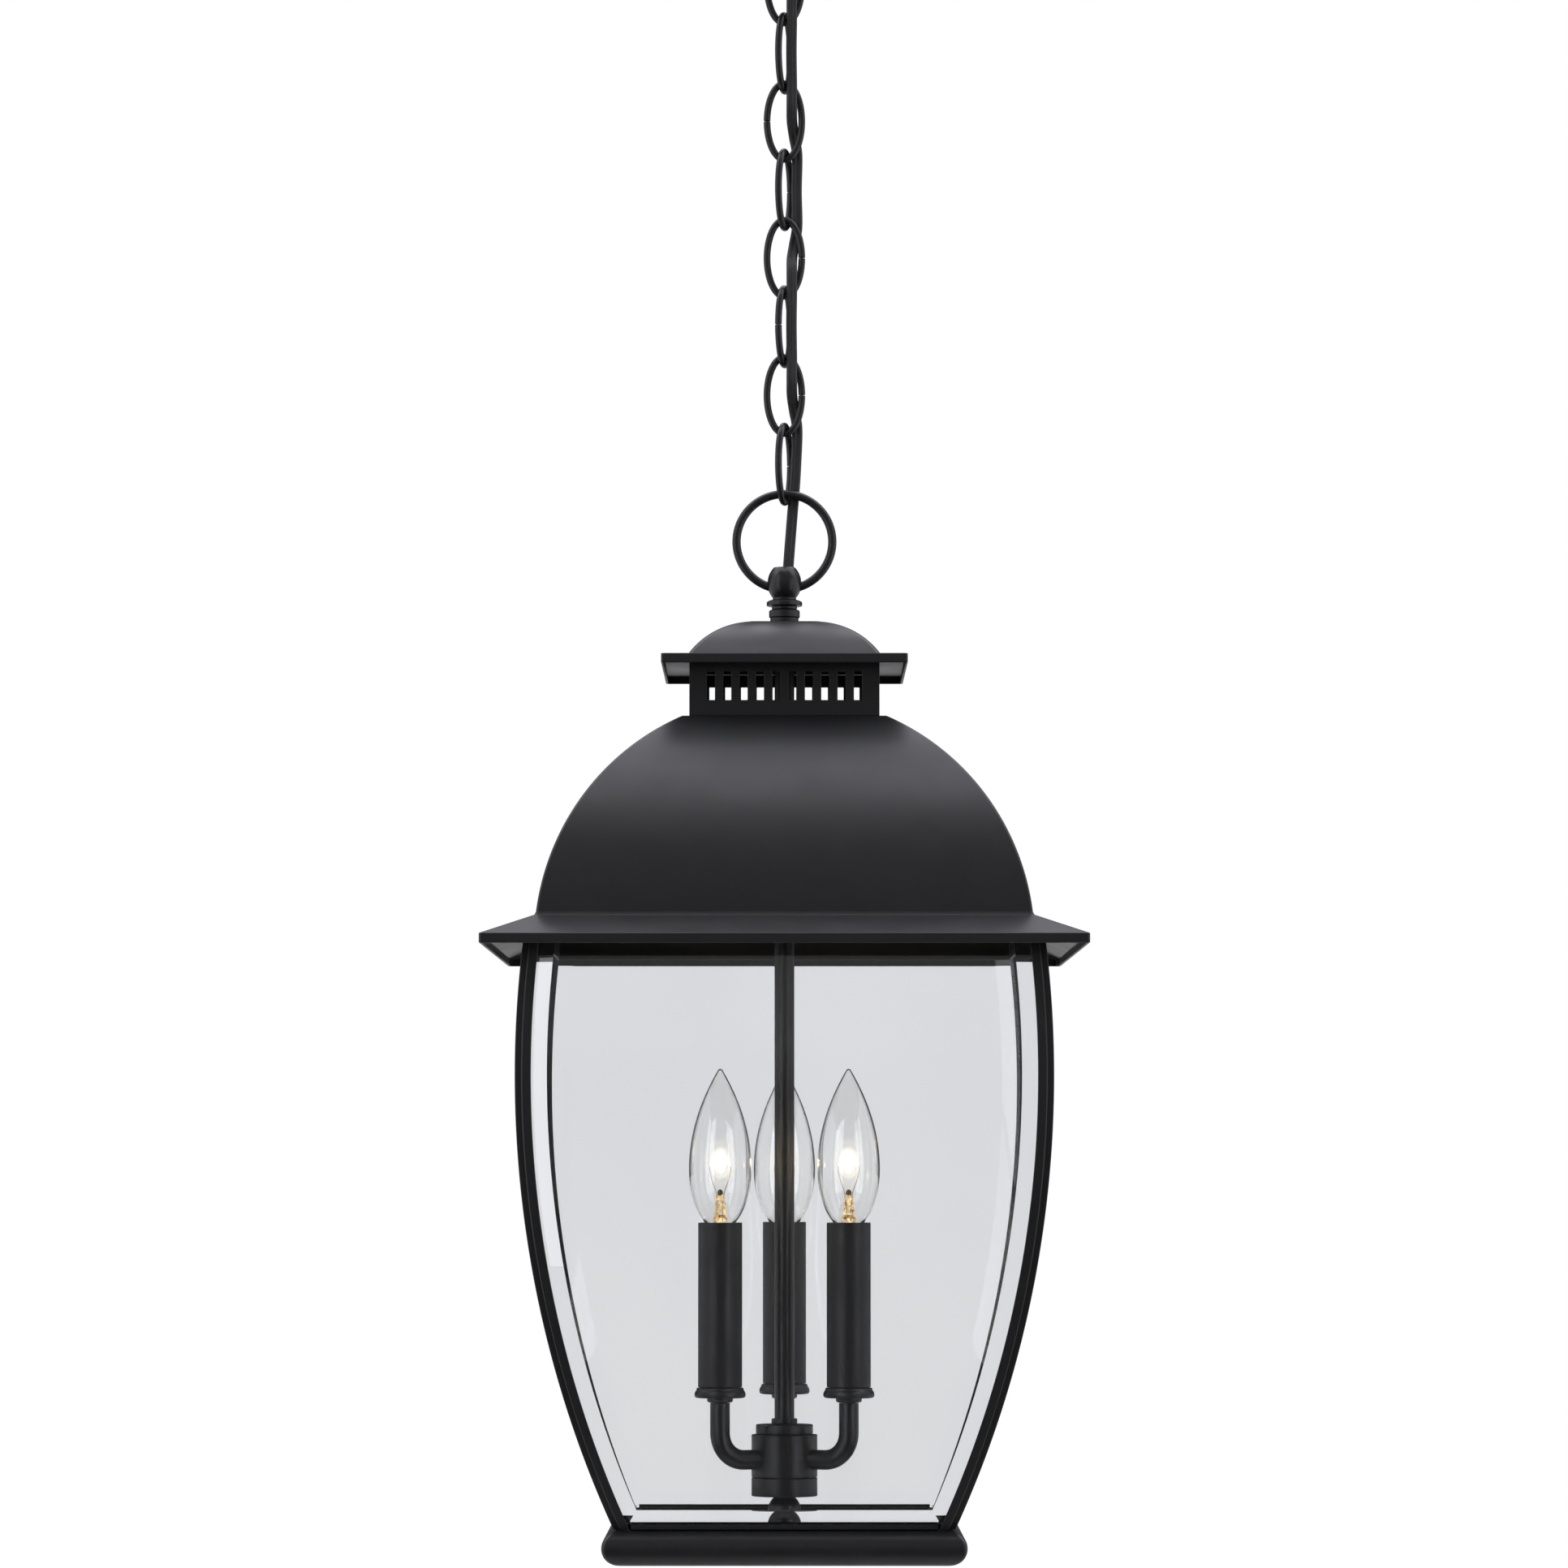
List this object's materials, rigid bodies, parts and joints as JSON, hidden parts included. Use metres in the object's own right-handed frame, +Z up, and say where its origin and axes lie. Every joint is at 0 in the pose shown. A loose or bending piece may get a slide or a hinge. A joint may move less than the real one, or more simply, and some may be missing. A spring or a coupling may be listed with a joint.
{
  "type": "hanging lantern",
  "caption": "Square hanging lantern with a domed roof, bowed clear panes and candle lamps, hung from a ceiling canopy by an oval-link chain with a cord woven through it.",
  "frame": {"origin": "centre of the crossbar's top face, where it is screwed to the ceiling box", "axes": "+Z up to the ceiling, and the lantern's front faces -Y with +X to the viewer's right"},
  "size_m": [0.28, 0.28, 0.8353],
  "materials": {
    "black_paint": "satin black powder coat",
    "black_chain": "satin black paint over steel wire",
    "black_cord": "black extruded cord jacket",
    "zinc_steel": "zinc plated, out of sight",
    "socket_plastic": "moulded black",
    "clear_glass": "clear, with bevelled edges",
    "bulb_glass": "clear, thin"
  },
  "bodies": {
    "canopy": {"crossbar": "zinc_steel", "canopy": "black_paint", "ceiling_nipple": "zinc_steel", "lock_nut": "zinc_steel", "screw_collar": "black_paint", "canopy_loop": "black_chain", "cord": "black_cord"},
    "link_a": {"link_a": "black_chain"},
    "link_b": {"link_b": "black_chain"},
    "link_c": {"link_c": "black_chain"},
    "link_d": {"link_d": "black_chain"},
    "link_e": {"link_e": "black_chain"},
    "link_f": {"link_f": "black_chain"},
    "link_g": {"link_g": "black_chain"},
    "link_h": {"link_h": "black_chain"},
    "lantern": {"loop_ring": "black_chain", "loop_ball": "black_chain", "neck_collar": "black_paint", "cap_nut": "zinc_steel", "cap": "black_paint", "vent_front": "black_paint", "vent_right": "black_paint", "vent_rear": "black_paint", "vent_left": "black_paint", "roof": "black_paint", "top_frame": "black_paint", "top_strap": "black_paint", "centre_tube": "black_paint", "post_front_left": "black_paint", "post_front_right": "black_paint", "post_rear_left": "black_paint", "post_rear_right": "black_paint", "pane_front": "clear_glass", "pane_rear": "clear_glass", "pane_left": "clear_glass", "pane_right": "clear_glass", "sill": "black_paint", "tray": "black_paint", "base_strap": "black_paint", "ball_spacer": "black_paint", "bottom_nut": "black_paint", "tube_nut": "black_paint", "cluster_cap": "black_paint", "cluster_body": "black_paint", "cluster_cover": "black_paint", "arm_1": "black_paint", "cup_1": "black_paint", "candle_cover_1": "black_paint", "socket_1": "socket_plastic", "arm_2": "black_paint", "cup_2": "black_paint", "candle_cover_2": "black_paint", "socket_2": "socket_plastic", "arm_3": "black_paint", "cup_3": "black_paint", "candle_cover_3": "black_paint", "socket_3": "socket_plastic"},
    "lamp_1": {"bulb_1": "bulb_glass"},
    "lamp_2": {"bulb_2": "bulb_glass"},
    "lamp_3": {"bulb_3": "bulb_glass"}
  },
  "joints": [
    {"name": "canopy_to_link_a", "type": "hinge", "parent": "canopy", "child": "link_a", "pos_m": [0, 0, -0.06], "axis": [0, 1, 0], "range_deg": [-15, 15], "deforming": ["cord"]},
    {"name": "link_a_to_link_b", "type": "hinge", "parent": "link_a", "child": "link_b", "pos_m": [0, 0, -0.0933], "axis": [1, 0, 0], "range_deg": [-15, 15], "deforming": ["cord"]},
    {"name": "link_b_to_link_c", "type": "hinge", "parent": "link_b", "child": "link_c", "pos_m": [0, 0, -0.1269], "axis": [0.342, 0.9397, 0], "range_deg": [-15, 15], "deforming": ["cord"]},
    {"name": "link_c_to_link_d", "type": "hinge", "parent": "link_c", "child": "link_d", "pos_m": [0, 0, -0.1605], "axis": [1, 0, 0], "range_deg": [-15, 15], "deforming": ["cord"]},
    {"name": "link_d_to_link_e", "type": "hinge", "parent": "link_d", "child": "link_e", "pos_m": [0, 0, -0.1941], "axis": [0.342, 0.9397, 0], "range_deg": [-15, 15], "deforming": ["cord"]},
    {"name": "link_e_to_link_f", "type": "hinge", "parent": "link_e", "child": "link_f", "pos_m": [0, 0, -0.2277], "axis": [1, 0, 0], "range_deg": [-15, 15], "deforming": ["cord"]},
    {"name": "link_f_to_link_g", "type": "hinge", "parent": "link_f", "child": "link_g", "pos_m": [0, 0, -0.2613], "axis": [0.342, 0.9397, 0], "range_deg": [-15, 15], "deforming": ["cord"]},
    {"name": "link_g_to_link_h", "type": "hinge", "parent": "link_g", "child": "link_h", "pos_m": [0, 0, -0.2949], "axis": [1, 0, 0], "range_deg": [-15, 15], "deforming": ["cord"]},
    {"name": "link_h_to_lantern", "type": "hinge", "parent": "link_h", "child": "lantern", "pos_m": [0, 0, -0.3285], "axis": [0.342, 0.9397, 0], "range_deg": [-15, 15], "deforming": ["cord"]},
    {"name": "lamp_1_turns", "type": "hinge", "parent": "lantern", "child": "lamp_1", "pos_m": [0, 0.0354, -0.69235], "axis": [0, 0, 1], "range_deg": [0, 360]},
    {"name": "lamp_2_turns", "type": "hinge", "parent": "lantern", "child": "lamp_2", "pos_m": [-0.03066, -0.0177, -0.69235], "axis": [0, 0, 1], "range_deg": [0, 360]},
    {"name": "lamp_3_turns", "type": "hinge", "parent": "lantern", "child": "lamp_3", "pos_m": [0.03066, -0.0177, -0.69235], "axis": [0, 0, 1], "range_deg": [0, 360]}
  ]
}
